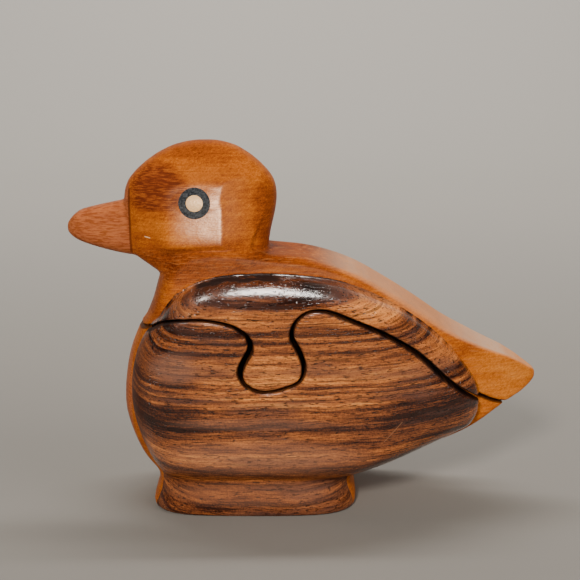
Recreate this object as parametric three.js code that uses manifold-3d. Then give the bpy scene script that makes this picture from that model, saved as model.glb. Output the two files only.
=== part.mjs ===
// Wooden duck box. Three boards are glued side by side and carved as one duck, and one jigsaw-shaped
// saw cut, straight through from side to side, parts it into a box and a lid. The tab of the lid is
// wider than its neck, so the lid slides out sideways. The middle of the box is sawn out as a pocket.
// Millimetres, +Z up. The bill points to -X and the tail to +X, the duck's left side faces -Y, and the
// origin is the middle of the foot's underside.

import * as THREE from "three";
import { mergeVertices } from "three/addons/utils/BufferGeometryUtils.js";
import Module from "manifold-3d";

const wasm = await Module();
wasm.setup();

// Boards
const CENTER_HALF = 14;
const GLUE_GAP = 0.1;
const SIDE_DEPTH = 11.4;
const SIDE_CROWN = 0.6;
const ARRIS = 1.5;
const FAR = 150;

// Crown of the breast across the middle board, and where it fades out behind the throat
const BREAST_CROWN = 3.2;
const CROWN_FROM_X = -18;
const CROWN_FULL_X = -30;

// Saw cut, and how far the lid has settled into it, down and towards the tail
const SAW_CUT = 1.2;
const LID_SETTLE_DOWN = 0.7;
const LID_SETTLE_BACK = 0.2;

// Levels across the middle board, as shares of its half thickness, close together over its arrises
const FLAT_SHARE = 1 - 2 * ARRIS / CENTER_HALF;
const MIDDLE_LEVELS = [1, 0.96, FLAT_SHARE, 0.5, 0, -0.5, -FLAT_SHARE, -0.96, -1];

// Spacing of the points on broad and on tight curves
const BROAD_STEP = 4.6;
const TIGHT_STEP = 3;
const CUT_STEP = 2;

// Rounding of a side board: the share of the way to its middle line over which its edge turns down
const EDGE_SHARE = 0.28;
const BREAST_EDGE_SHARE = 0.44;
const TAIL_EDGE_SHARE = 0.82;
const BREAST_EDGE_FROM_X = -12;
const TAIL_EDGE_FROM_X = 35;
const EDGE_DEGREES = [0, 18, 36, 54, 72, 90];
const FACE_SHARE = 0.5;
const MIDDLE_LINE_Z = 42;
const MIDDLE_LINE_FROM_X = -8;
const MIDDLE_LINE_TO_X = 37;

// Foot: a rounded rectangle that is cut in at the waist and flares to its toe
const FOOT_LENGTH = 64;
const FOOT_WIDTH = 46;
const FOOT_SQUARENESS = 4;
const FOOT_SIDES = 48;
const FOOT_TOP = 14;
const FOOT_WAIST_INSET = 1.9;
// Height and inset of each level of the foot
const FOOT_PROFILE = [[0, 0.8], [0.7, 0.1], [1.6, 0], [4, 0.9], [6.5, 1.6], [9.5, FOOT_WAIST_INSET],
  [FOOT_TOP, FOOT_WAIST_INSET]];

// Pocket of the box
const POCKET_FLOOR = 15;
const POCKET_BREAST_X = -31;
const POCKET_TAIL_X = 50;
const POCKET_CORNER = 8;
const POCKET_RAMP_X = 26;
const POCKET_RAMP_Z = 35;
const POCKET_BEND_STEPS = 6;

// Eyes
const EYE_X = -17.4;
const EYE_Z = 95.9;
const EYE_RING_DIAMETER = 9.5;
const EYE_CENTER_DIAMETER = 5;
const EYE_DEPTH = 4.5;
const EYE_GAP = 0.1;
const EYE_SIDES = 28;

// Tail: a leaf in plan, full width up to its shoulder, with the bends that draw its two sides in
const TAIL_SHOULDER_X = 54;
const TAIL_TIP_X = 89.4;
const TAIL_BEND_X = 66;
const TAIL_BEND_Y = 5;
const TAIL_SIDES = 10;

// Stations of the side view of the middle board, each [x, z]
const BREAST = [[-29, 6], [-31.6, 10], [-35.4, 14.8], [-38.9, 22.5], [-41, 31], [-40.7, 38], [-38.9, 47],
  [-35.4, 55.8], [-31.8, 64], [-29.8, 71], [-28, 77]];
const SHOULDER = [[-28, 77], [-22, 80.6], [-12, 81.8], [-2, 81], [4.7, 80.1]];
const BACK = [[4.7, 80.1], [17.4, 78.7], [30.1, 74.7], [40.8, 68.8], [51.5, 62], [59.7, 56.3],
  [70.5, 50.6], [79.7, 46.6], [86, 42.6]];
const TAIL_END = [[86, 42.6], [88.9, 40.2], [87.9, 38.2], [84, 35.2], [78.5, 32.4]];
const BELLY = [[78.5, 32.4], [68, 25.8], [56.9, 20.8], [45, 15.8], [36, 12.4], [31, 10], [28, 6]];
const UNDER_BREAST = [BELLY.at(-1), BREAST[0]];

// Stations of the outline of the side boards, each [x, z], with the reach to breast and tail
const BOARD_BREAST_X = -37.5;
const BOARD_TAIL_X = 69.4;
const BOARD_TOP = [[-29.4, 59.6], [-27.6, 62.5], [-23.8, 67.1], [-17.8, 71.1], [-10.2, 73.3], [2, 74.2],
  [12.8, 73.8], [25.3, 72.1], [36.6, 67.9], [46.8, 62.6], [56.9, 54.7], [64.7, 46.8], [68.5, 40.8]];
const BOARD_TAIL = [[68.5, 40.8], [BOARD_TAIL_X, 36.5], [69.1, 31.4], [66.6, 27]];
const BOARD_BELLY = [[66.6, 27], [56.9, 22.2], [44.8, 16.7], [36, 13.4], [29, 11], [20, 9.6], [0, 9.3],
  [-20, 9.6], [-27.4, 11]];
const BOARD_BREAST = [[-27.4, 11], [-30.5, 14.8], [-33.7, 21.1], [-36.2, 28.8],
  [BOARD_BREAST_X, 37], [-36.8, 44.8], [-34.3, 53], [-31.6, 57.2], [-29.4, 59.6]];

// Middle line of the saw cut from breast to tail, each [x, z]
const CUT = [[-60, 48], [-40, 54.6], [-34.7, 56.7], [-31.4, 58.2], [-26.3, 61.2], [-18, 62.7],
  [-10.1, 62.1], [-4.6, 60.3], [-1.2, 57.2], [-0.7, 54], [-2.7, 50.1], [-3.9, 46.6], [-2.5, 43.3],
  [2, 41], [9.3, 42], [14.1, 44.5], [15.2, 48.6], [13.7, 53.5], [11.5, 57.8], [12.3, 61.7],
  [15.8, 65], [21, 65.6], [28.6, 62.9], [38.4, 58.8], [48.4, 52.7], [58.7, 43.2], [64.1, 39.2],
  [69.3, 35.9], [75, 33.2], [84, 31.2], [110, 28]];

// Sections of the head from throat to crown, each [front x, front z, nape x, nape z, half width]
const HEAD_SQUARENESS = 2.7;
const HEAD_LEVELS = 16;
const HEAD_SIDES = 36;
const HEAD_SECTIONS = [
  [-29.2, 73, 4, 76, 13.6],
  [-33.3, 76, 4.4, 79, 12.9],
  [-37.6, 79, 4.6, 81.6, 12.1],
  [-39, 84, 5.2, 86, 12.4],
  [-39.7, 90, 6.3, 90.6, 13.5],
  [-39.8, 96, 7.1, 96, 14],
  [-39, 100.4, 6.5, 100.6, 13.5],
  [-35.7, 104.7, 4, 104.4, 12.1],
  [-30.3, 109, -0.2, 108.4, 9.4],
  [-23.4, 112.3, -6.2, 112.1, 5.5],
  [-17.8, 113.3, -11.6, 113.3, 2.1],
];

// Sections of the bill from inside the head to its tip, each [x, top z, bottom z, half width]
const BILL_SQUARENESS = 2.8;
const BILL_LEVELS = 9;
const BILL_SIDES = 20;
const BILL_SECTIONS = [
  [-30, 96, 77, 6.6],
  [-38, 95.4, 78, 6.8],
  [-43, 94.4, 79, 6.5],
  [-49, 93.1, 80.6, 5.8],
  [-53.5, 91.9, 82.2, 4.8],
  [-56, 90, 83.6, 3.5],
  [-57.5, 87.9, 85.3, 1.7],
];

// Curves of the side view

// Evenly spaced points on a smooth curve through the stations
function smoothCurve(stations, spacing) {
  const corners = stations.map(([x, z]) => new THREE.Vector3(x, z, 0));
  const curve = new THREE.CatmullRomCurve3(corners, false, "centripetal");
  const steps = Math.ceil(curve.getLength() / spacing);
  return curve.getSpacedPoints(steps).map((p) => new THREE.Vector2(p.x, p.y));
}

// A closed outline from stretches that each start where the one before ends, turned to run
// counter-clockwise with x to the right and z up
function closedOutline(stretches) {
  const outline = stretches.flatMap(([stations, spacing]) => smoothCurve(stations, spacing).slice(0, -1));
  return THREE.ShapeUtils.isClockWise(outline) ? outline.reverse() : outline;
}

// Unit vectors across a line of points, to the left of its direction
function leftNormals(points, closed) {
  const last = points.length - 1;
  return points.map((_, i) => {
    const before = closed ? points.at(i - 1) : points[Math.max(i - 1, 0)];
    const after = closed ? points[(i + 1) % points.length] : points[Math.min(i + 1, last)];
    const along = after.clone().sub(before).normalize();
    return new THREE.Vector2(-along.y, along.x);
  });
}

// Closed solids

function toSolid(geometry) {
  const bare = geometry.clone();
  bare.deleteAttribute("normal");
  bare.deleteAttribute("uv");
  const merged = mergeVertices(bare, 1e-4);
  return new wasm.Manifold(new wasm.Mesh({
    numProp: 3,
    vertProperties: Float32Array.from(merged.attributes.position.array),
    triVerts: Uint32Array.from(merged.index.array),
  }));
}

function toGeometry(solid) {
  const mesh = solid.getMesh();
  const geometry = new THREE.BufferGeometry();
  geometry.setAttribute("position", new THREE.BufferAttribute(mesh.vertProperties.slice(), mesh.numProp));
  geometry.setIndex(new THREE.BufferAttribute(mesh.triVerts.slice(), 1));
  geometry.computeVertexNormals();
  return geometry;
}

// A body through rings of equal count with a flat cap at each end. flatten gives the place of a ring's
// point in the plane of the caps, where the rings run counter-clockwise seen from the last one.
function loft(rings, flatten) {
  const count = rings[0].length;
  const last = (rings.length - 1) * count;
  const triangles = [];
  for (let start = 0; start < last; start += count) {
    for (let i = 0; i < count; i += 1) {
      const [a, b] = [start + i, start + (i + 1) % count];
      triangles.push(a, b, b + count, a, b + count, a + count);
    }
  }
  for (const [a, b, c] of THREE.ShapeUtils.triangulateShape(rings[0].map(flatten), [])) {
    triangles.push(c, b, a);
  }
  for (const [a, b, c] of THREE.ShapeUtils.triangulateShape(rings.at(-1).map(flatten), [])) {
    triangles.push(last + a, last + b, last + c);
  }
  const geometry = new THREE.BufferGeometry();
  const places = rings.flat().flatMap((p) => p.toArray());
  geometry.setAttribute("position", new THREE.Float32BufferAttribute(places, 3));
  geometry.setIndex(triangles);
  return toSolid(geometry);
}

// A straight-sided block between two values of y, from an outline of the side view
function blockAcross(outline, yFrom, yTo) {
  const rings = [yTo, yFrom].map((y) => outline.map((p) => new THREE.Vector3(p.x, y, p.y)));
  return loft(rings, (p) => new THREE.Vector2(p.x, p.z));
}

function boxBetween(low, high) {
  const [sizeX, sizeY, sizeZ] = high.map((value, axis) => value - low[axis]);
  const geometry = new THREE.BoxGeometry(sizeX, sizeY, sizeZ);
  geometry.translate(...high.map((value, axis) => (value + low[axis]) / 2));
  return toSolid(geometry);
}

// A cylinder along Y between two values of y
function rodAcross(x, z, diameter, yFrom, yTo) {
  const geometry = new THREE.CylinderGeometry(diameter / 2, diameter / 2, yTo - yFrom, EYE_SIDES);
  geometry.translate(0, (yFrom + yTo) / 2, 0);
  geometry.translate(x, 0, z);
  return toSolid(geometry);
}

// Points of a superellipse, round at a squareness of 2 and squarer above
function oval(halfLength, halfWidth, squareness, steps) {
  const soften = (value) => Math.sign(value) * Math.abs(value) ** (2 / squareness);
  return Array.from({ length: steps }, (_, i) => {
    const angle = (i + 0.5) * 2 * Math.PI / steps;
    return new THREE.Vector2(halfLength * soften(Math.cos(angle)), halfWidth * soften(Math.sin(angle)));
  });
}

// Sections in between the given ones, with each of their numbers on a smooth curve of its own
function smoothSections(sections, steps) {
  const columns = sections[0].map((_, column) => new THREE.CatmullRomCurve3(
    sections.map((section, i) => new THREE.Vector3(i, section[column], 0)), false, "centripetal"));
  return Array.from({ length: steps + 1 }, (_, i) => columns.map((curve) => curve.getPoint(i / steps).y));
}

// Middle board below the head: arrises rounded, breast crowned, tail drawn to a leaf in plan
function middleBoard() {
  const outline = closedOutline([[BREAST, TIGHT_STEP], [SHOULDER, BROAD_STEP], [BACK, BROAD_STEP],
    [TAIL_END, TIGHT_STEP], [BELLY, BROAD_STEP], [UNDER_BREAST, FOOT_LENGTH]]);
  const inward = leftNormals(outline, true);
  const rings = MIDDLE_LEVELS.map((share) => outline.map((p, i) => {
    const turned = Math.max(0, Math.abs(share) - FLAT_SHARE) / (1 - FLAT_SHARE);
    const arris = ARRIS * (1 - Math.sqrt(1 - turned * turned));
    const onBreast = THREE.MathUtils.smoothstep(-p.x, -CROWN_FROM_X, -CROWN_FULL_X);
    const moved = p.clone().addScaledVector(inward[i], arris + BREAST_CROWN * onBreast * share * share);
    return new THREE.Vector3(moved.x, share * CENTER_HALF, moved.y);
  }));
  return loft(rings, (p) => new THREE.Vector2(p.x, p.z)).intersect(tailLeaf());
}

// Everything inside the plan of the tail, which draws in from its shoulder to a rounded tip
function tailLeaf() {
  const leaf = new THREE.Shape();
  const edge = CENTER_HALF + GLUE_GAP;
  leaf.moveTo(-FAR, -FAR);
  leaf.lineTo(TAIL_SHOULDER_X, -FAR);
  leaf.lineTo(TAIL_SHOULDER_X, -edge);
  leaf.bezierCurveTo(TAIL_BEND_X, -edge, TAIL_TIP_X, -TAIL_BEND_Y, TAIL_TIP_X, 0);
  leaf.bezierCurveTo(TAIL_TIP_X, TAIL_BEND_Y, TAIL_BEND_X, edge, TAIL_SHOULDER_X, edge);
  leaf.lineTo(TAIL_SHOULDER_X, FAR);
  leaf.lineTo(-FAR, FAR);
  const options = { depth: FAR, bevelEnabled: false, curveSegments: TAIL_SIDES };
  return toSolid(new THREE.ExtrudeGeometry(leaf, options));
}

// Head: oval sections, tilted as throat and nape are, from the neck up to the crown
function head() {
  const sections = smoothSections(HEAD_SECTIONS, HEAD_LEVELS);
  const rings = sections.map(([frontX, frontZ, napeX, napeZ, halfWidth]) => (
    oval(1, halfWidth, HEAD_SQUARENESS, HEAD_SIDES).map((p) => new THREE.Vector3(
      THREE.MathUtils.lerp(frontX, napeX, (p.x + 1) / 2), p.y,
      THREE.MathUtils.lerp(frontZ, napeZ, (p.x + 1) / 2)))));
  return loft(rings, (p) => new THREE.Vector2(p.x, p.y));
}

// Bill: soft-cornered sections that taper to a blunt tip
function bill() {
  const rings = smoothSections(BILL_SECTIONS, BILL_LEVELS).map(([x, top, bottom, halfWidth]) => (
    oval((top - bottom) / 2, halfWidth, BILL_SQUARENESS, BILL_SIDES).map((p) => (
      new THREE.Vector3(x, p.y, (top + bottom) / 2 + p.x)))));
  return loft(rings, (p) => new THREE.Vector2(p.z, p.y));
}

// Foot under all three boards
function foot() {
  const rings = FOOT_PROFILE.map(([height, inset]) => (
    oval(FOOT_LENGTH / 2 - inset, FOOT_WIDTH / 2 - inset, FOOT_SQUARENESS, FOOT_SIDES).map((p) => (
      new THREE.Vector3(p.x, p.y, height)))));
  return loft(rings, (p) => new THREE.Vector2(p.x, p.y));
}

// Side board, whole, on the left (side -1) or the right (side 1): its edge turns down in a quarter
// round that grows longer towards the breast and draws the tail out thin.
function sideBoard(side) {
  const outline = closedOutline([[BOARD_TOP, TIGHT_STEP], [BOARD_TAIL, TIGHT_STEP],
    [BOARD_BELLY, BROAD_STEP], [BOARD_BREAST, TIGHT_STEP]]);
  const toMiddle = outline.map((p) => new THREE.Vector2(
    THREE.MathUtils.clamp(p.x, MIDDLE_LINE_FROM_X, MIDDLE_LINE_TO_X), MIDDLE_LINE_Z).sub(p));
  const edgeShares = outline.map((p) => EDGE_SHARE
    + (BREAST_EDGE_SHARE - EDGE_SHARE)
      * THREE.MathUtils.smoothstep(-p.x, -BREAST_EDGE_FROM_X, -BOARD_BREAST_X)
    + (TAIL_EDGE_SHARE - EDGE_SHARE) * THREE.MathUtils.smoothstep(p.x, TAIL_EDGE_FROM_X, BOARD_TAIL_X));
  const ringAt = (depth, shareOf) => outline.map((p, i) => {
    const moved = p.clone().addScaledVector(toMiddle[i], shareOf(edgeShares[i]));
    return new THREE.Vector3(moved.x, side * (CENTER_HALF + GLUE_GAP + depth), moved.y);
  });
  const rings = EDGE_DEGREES.map((degrees) => {
    const angle = THREE.MathUtils.degToRad(degrees);
    return ringAt(SIDE_DEPTH * Math.sin(angle), (share) => share * (1 - Math.cos(angle)));
  });
  rings.push(ringAt(SIDE_DEPTH + SIDE_CROWN, (share) => THREE.MathUtils.lerp(share, 1, FACE_SHARE)));
  if (side > 0) rings.reverse();
  return loft(rings, (p) => new THREE.Vector2(p.x, p.z));
}

// The space over the saw cut, where the lid is, and the space under it, where the box is. The lid has
// settled into the cut, so the gap is narrow where it is level and wider on the sides of the tab.
function cutSpaces() {
  const line = smoothCurve(CUT, CUT_STEP);
  const up = leftNormals(line, false);
  const settle = new THREE.Vector2(LID_SETTLE_BACK, -LID_SETTLE_DOWN);
  const edge = (sign) => line.map((p, i) => (
    p.clone().addScaledVector(up[i], sign * SAW_CUT / 2).addScaledVector(settle, sign / 2)));
  const corner = (x, z) => new THREE.Vector2(x, z);
  const lidSpace = blockAcross([...edge(1), corner(FAR, FAR), corner(-FAR, FAR)], -FAR, FAR);
  const boxSpace = blockAcross([...edge(-1).reverse(), corner(-FAR, -FAR), corner(FAR, -FAR)], -FAR, FAR);
  return { lidSpace, boxSpace };
}

// Pocket through the middle board of the box, open to the cut, with a ramp up to its tail end
function pocket() {
  const shape = new THREE.Shape();
  shape.moveTo(POCKET_BREAST_X, FAR);
  shape.lineTo(POCKET_BREAST_X, POCKET_FLOOR + POCKET_CORNER);
  shape.quadraticCurveTo(POCKET_BREAST_X, POCKET_FLOOR, POCKET_BREAST_X + POCKET_CORNER, POCKET_FLOOR);
  shape.lineTo(POCKET_RAMP_X, POCKET_FLOOR);
  shape.quadraticCurveTo(POCKET_TAIL_X, POCKET_FLOOR + POCKET_CORNER, POCKET_TAIL_X, POCKET_RAMP_Z);
  shape.lineTo(POCKET_TAIL_X, FAR);
  return blockAcross(shape.getPoints(POCKET_BEND_STEPS), -FAR, FAR);
}

// Materials

const CENTER_WOOD = new THREE.MeshStandardMaterial({ color: 0xb5652b, roughness: 0.3, metalness: 0 });
const SIDE_WOOD = new THREE.MeshStandardMaterial({ color: 0x5b3020, roughness: 0.25, metalness: 0 });
const EYE_RING_WOOD = new THREE.MeshStandardMaterial({ color: 0x3c4044, roughness: 0.3, metalness: 0 });
const EYE_CENTER_WOOD = new THREE.MeshStandardMaterial({ color: 0xd8b98a, roughness: 0.4, metalness: 0 });

// Pieces

const duckBox = new THREE.Group();
const { lidSpace, boxSpace } = cutSpaces();
const middleSlab = boxBetween([-FAR, -CENTER_HALF, -FAR], [FAR, CENTER_HALF, FAR]);
const wholeFoot = foot();
const carvedMiddle = middleBoard().add(head()).add(bill()).add(wholeFoot.intersect(middleSlab));

function addPiece(name, solid, material) {
  const mesh = new THREE.Mesh(toGeometry(solid), material);
  mesh.name = name;
  duckBox.add(mesh);
}

// The dark board on one side, cut in two
function addSideBoards(sideName, side) {
  const outside = boxBetween(
    side < 0 ? [-FAR, -FAR, -FAR] : [-FAR, CENTER_HALF + GLUE_GAP, -FAR],
    side < 0 ? [FAR, -CENTER_HALF - GLUE_GAP, FAR] : [FAR, FAR, FAR]);
  const board = sideBoard(side);
  addPiece(`lid_${sideName}_board`, board.intersect(lidSpace), SIDE_WOOD);
  addPiece(`base_${sideName}_board`, board.add(wholeFoot.intersect(outside)).intersect(boxSpace), SIDE_WOOD);
}

// A ring and a disc let flush into one side of the head. Gives what is left of the head.
function addEye(sideName, side, carved) {
  const across = (depth) => (side < 0 ? [-FAR, depth - CENTER_HALF] : [CENTER_HALF - depth, FAR]);
  const rod = (diameter, depth) => rodAcross(EYE_X, EYE_Z, diameter, ...across(depth));
  const ring = rod(EYE_RING_DIAMETER, EYE_DEPTH).subtract(rod(EYE_CENTER_DIAMETER + 2 * EYE_GAP, EYE_DEPTH));
  addPiece(`${sideName}_eye_ring`, ring.intersect(carved), EYE_RING_WOOD);
  addPiece(`${sideName}_eye_center`, rod(EYE_CENTER_DIAMETER, EYE_DEPTH).intersect(carved), EYE_CENTER_WOOD);
  return carved.subtract(rod(EYE_RING_DIAMETER + 2 * EYE_GAP, EYE_DEPTH + EYE_GAP));
}

let lidMiddle = carvedMiddle.intersect(lidSpace);
for (const [sideName, side] of [["left", -1], ["right", 1]]) {
  addSideBoards(sideName, side);
  lidMiddle = addEye(sideName, side, lidMiddle);
}
addPiece("lid_center_board", lidMiddle, CENTER_WOOD);
addPiece("base_center_board", carvedMiddle.intersect(boxSpace).subtract(pocket()), CENTER_WOOD);

export default duckBox;
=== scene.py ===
"""Wooden duck box: three boards glued side by side, carved as a duck, and sawn into a box and a lid."""

import math

import bpy
import numpy as np
from bpy.props import FloatProperty, FloatVectorProperty, IntProperty, PointerProperty
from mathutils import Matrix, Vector


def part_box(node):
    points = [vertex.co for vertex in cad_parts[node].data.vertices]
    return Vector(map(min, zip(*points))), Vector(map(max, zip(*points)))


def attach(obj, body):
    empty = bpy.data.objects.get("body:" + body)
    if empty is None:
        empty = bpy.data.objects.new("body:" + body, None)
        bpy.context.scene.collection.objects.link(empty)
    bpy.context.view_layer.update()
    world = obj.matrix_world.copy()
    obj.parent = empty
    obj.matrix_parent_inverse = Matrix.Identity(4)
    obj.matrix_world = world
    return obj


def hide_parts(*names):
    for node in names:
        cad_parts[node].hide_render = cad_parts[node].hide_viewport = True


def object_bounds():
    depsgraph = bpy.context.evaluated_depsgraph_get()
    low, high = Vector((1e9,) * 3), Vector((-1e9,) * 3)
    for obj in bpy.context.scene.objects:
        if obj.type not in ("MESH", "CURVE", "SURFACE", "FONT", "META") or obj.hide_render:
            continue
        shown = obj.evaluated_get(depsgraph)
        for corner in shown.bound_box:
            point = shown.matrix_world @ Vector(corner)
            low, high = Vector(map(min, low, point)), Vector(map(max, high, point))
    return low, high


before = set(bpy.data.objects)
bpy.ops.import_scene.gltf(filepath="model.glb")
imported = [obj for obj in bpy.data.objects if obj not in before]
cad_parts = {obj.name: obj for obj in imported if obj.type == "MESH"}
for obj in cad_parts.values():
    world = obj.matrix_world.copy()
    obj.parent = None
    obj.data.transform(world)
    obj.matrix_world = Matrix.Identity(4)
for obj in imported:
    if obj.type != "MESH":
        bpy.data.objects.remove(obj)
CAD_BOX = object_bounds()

bl_info = {
    "name": "Wooden duck box",
    "version": (1, 0, 0),
    "blender": (4, 5, 0),
    "location": "View3D > Sidebar > Duck box",
    "description": "Builds a carved, laminated duck box with a jigsaw-cut lid",
    "category": "Add Mesh",
}

MM = 0.001

# The duck's left side, which the photo shows, and its right side, with the way each faces along Y
SIDES = (("left", -1), ("right", 1))

# The frame's own places
GLUE_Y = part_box("base_center_board")[1].y
SIDE_INNER_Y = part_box("base_right_board")[0].y
GLUE_OVERLAP = SIDE_INNER_Y - GLUE_Y + 0.05 * MM  # how far a side board is pushed in to close its glue line
EYE_LOW, EYE_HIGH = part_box("left_eye_ring")
EYE_CENTER = (EYE_LOW + EYE_HIGH) / 2
EYE_RADIUS = (EYE_HIGH.x - EYE_LOW.x) / 2
EYE_DEPTH = EYE_HIGH.y - EYE_LOW.y
DISC_RADIUS = (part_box("left_eye_center")[1].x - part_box("left_eye_center")[0].x) / 2

# Tools for the eyes: how much the fillers of their gaps are grown, the sides of the drill and how far it
# reaches out of the head, and the margin round the block that the inlays are cut from
RING_GROWTH = 1.03
DISC_GROWTH = 1.08
DEPTH_GROWTH = 1.05
DRILL_SIDES = 96
DRILL_REACH = 4 * MM
BLOCK_MARGIN = 2 * MM

# Where the woods part, a hair outside the glue plane, so that the flat sides of the middle board stay whole
WOOD_EDGE_Y = GLUE_Y + 0.15 * MM

# Pocket of the box: its ends, floor, and the ramp up to its tail end
POCKET_BREAST_X = -31 * MM
POCKET_TAIL_X = 50 * MM
POCKET_FLOOR_Z = 15 * MM
POCKET_RAMP_X = 26 * MM
POCKET_RAMP_Z = 23 * MM
POCKET_TOP_Z = 90 * MM
POCKET_CORNER = 7 * MM
POCKET_RAMP_CORNER = 11 * MM
POCKET_CORNER_STEPS = 10
POCKET_SPARE = 1 * MM  # how far its cutter reaches past either side of the middle board

# Middle line of the saw cut from breast to tail, each [x, z] in mm, its width, and how far the lid has
# settled into it, towards the tail and down
SAW_LINE = [
    (-60, 48), (-40, 54.6), (-34.7, 56.7), (-31.4, 58.2), (-26.3, 61.2), (-18, 62.7), (-10.1, 62.1),
    (-4.6, 60.3), (-1.2, 57.2), (-0.7, 54), (-2.7, 50.1), (-3.9, 46.6), (-2.5, 43.3), (2, 41), (9.3, 42),
    (14.1, 44.5), (15.2, 48.6), (13.7, 53.5), (11.5, 57.8), (12.3, 61.7), (15.8, 65), (21, 65.6),
    (28.6, 62.9), (38.4, 58.8), (48.4, 52.7), (58.7, 43.2), (64.1, 39.2), (69.3, 35.9), (75, 33.2),
    (84, 31.2), (110, 28),
]
SAW_STEPS = 10
SAW_CUT = 1.2 * MM
LID_SETTLE = Vector((0.2, -0.7)) * MM

# Part of the cut, behind the tab, where the saw wandered and cut wider
WIDER_FROM = (16 * MM, 26 * MM)
WIDER_TO = (60 * MM, 70 * MM)
WIDER_BY = 0.35

# Fillers that close the saw cut before the carving: how far a copy is shifted, in saw cuts, and where the
# copies of box and lid, and those of the lid's tab, are trimmed
FILLER_SHIFT = 1.2
FILLER_TAIL_X = 77 * MM
FILLER_TOP_Z = 68 * MM
FILLER_BREAST = (-60 * MM, 0, 46 * MM)
FILLER_BREAST_DOWN = (-17, 0, -60)
TAB_LOW_X = -12 * MM
TAB_HIGH_X = 24 * MM
TAB_TOP_Z = 67 * MM

# Side of the head: a flat cheek round the eye, and from its arris a facet that turns back to the nape
CHEEK_HALF_WIDTH = 13.85 * MM
CHEEK_LEAN = 1.5
CHEEK_ARRIS_X = -9.5 * MM
CHEEK_BOTTOM_Z = 84 * MM
FACET_SLOPE = 0.33

# Margins over which the cheek and the facet begin and end: forwards, at the jaw, at the crown and inwards
CHEEK_FRONT = (-31 * MM, -25 * MM)
CHEEK_JAW = (79.5 * MM, 83 * MM)
CHEEK_CROWN = (99 * MM, 104 * MM)
CHEEK_INWARDS = (9 * MM, 11 * MM)
FACET_FRONT = (-16 * MM, -12 * MM)
FACET_JAW = (80.5 * MM, 83 * MM)

# How the carving is rounded: the grid it is remeshed on, the passes of sanding, and the steps they are
# weighed in
GRID = 0.4 * MM
COARSE_PASSES = 100
FACE_PASSES = 240
EDGE_PASSES = 30
SKIN_PASSES = 3
HAIR = 0.001 * MM  # how far inside the box round the solids the outermost points stay
WEIGHT_STEPS = 50
SMOOTH_ANGLE = math.radians(50)

# Hollows at the glue lines that sanding leaves sharp: how deep and how near the line they are, from what
# height up, how much of them is kept, and how that fades from one point to the next
HOLLOW_DEPTH = 0.03 * MM
HOLLOW_REACH = 1.2 * MM
HOLLOW_LOW_Z = 16 * MM
HOLLOW_KEPT = 0.95
HOLLOW_FADE = 0.8
HOLLOW_STEPS = 3

# Other places that are sanded less, with the margins over which each begins: beak, tail and foot
BEAK_KEPT = 0.8
BEAK_FROM = (37 * MM, 39 * MM)
TAIL_KEPT = 0.6
TAIL_FROM = (72 * MM, 80 * MM)
FOOT_SANDED = 0.08
FOOT_UP_TO = (0.5 * MM, 7 * MM)

# Flat sides, which are sanded on their own: how squarely they face sideways, and how far out they are
SIDE_FACING = (0.9, 0.98)
SIDE_OUT = (GLUE_Y + 5 * MM, GLUE_Y + 7 * MM)

# Easing of the saw cut's edges: its reach from the cut, and its share on the middle board and outside it
EASED_REACH = (2.2 * MM, 3.5 * MM)
EASED_OUT = (GLUE_Y - 0.5 * MM, GLUE_Y + 3 * MM)
EASED_INSIDE = 0.3

# How near the saw cut a point lies to be looked at as one of its walls, and the distance from the cut's edges
# over which the painted shade of the walls gives way to the outside
NEAR_CUT = 2.5 * MM
CUT_WALL_REACH = (0.2 * MM, 0.5 * MM)


# Settings

def settings(group):
    """One of the panel's groups of settings: carving, finish or stage."""
    return getattr(bpy.context.scene, "duck_" + group)


# Working on meshes

def only(*objects):
    """Selects these objects alone, with the first of them active."""
    bpy.ops.object.select_all(action="DESELECT")
    for each in objects:
        each.select_set(True)
    bpy.context.view_layer.objects.active = objects[0]


def edit_all(piece):
    """Enters edit mode on the whole of a piece."""
    only(piece)
    bpy.ops.object.mode_set(mode="EDIT")
    bpy.ops.mesh.select_all(action="SELECT")


def leave_edit():
    bpy.ops.object.mode_set(mode="OBJECT")


def apply_modifier(piece, kind, **options):
    """Adds one modifier to a piece and applies it."""
    only(piece)
    modifier = piece.modifiers.new(kind.title(), kind)
    for key, value in options.items():
        setattr(modifier, key, value)
    bpy.ops.object.modifier_apply(modifier=modifier.name)


def remove(*objects):
    for each in objects:
        bpy.data.objects.remove(each)


def copy_of(piece, name):
    """A copy of a piece with a mesh of its own and no material."""
    copy = bpy.data.objects.new(name, piece.data.copy())
    copy.data.name = name
    copy.data.materials.clear()
    bpy.context.scene.collection.objects.link(copy)
    return copy


def merged_copy(node):
    """A copy of one of the frame's solids, with its loose triangles joined up."""
    copy = copy_of(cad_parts[node], node + "_copy")
    edit_all(copy)
    bpy.ops.mesh.remove_doubles(threshold=1e-6)
    bpy.ops.mesh.normals_make_consistent(inside=False)
    leave_edit()
    return copy


def joined(pieces, name):
    only(*pieces)
    bpy.ops.object.join()
    pieces[0].name = name
    return pieces[0]


def moved(piece, x, y, z):
    """Moves the mesh of a piece and leaves its object where it is."""
    edit_all(piece)
    bpy.ops.transform.translate(value=(x, y, z))
    leave_edit()
    return piece


def resized(piece, scale, center):
    """Resizes the mesh of a piece about a point."""
    edit_all(piece)
    bpy.ops.transform.resize(value=scale, center_override=center)
    bpy.ops.mesh.normals_make_consistent(inside=False)
    leave_edit()
    return piece


def cut_away(piece, place, outward):
    """Cuts a piece flat at a plane and drops what lies beyond it."""
    edit_all(piece)
    bpy.ops.mesh.bisect(plane_co=place, plane_no=outward, use_fill=True, clear_outer=True, threshold=1e-7)
    leave_edit()


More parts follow.
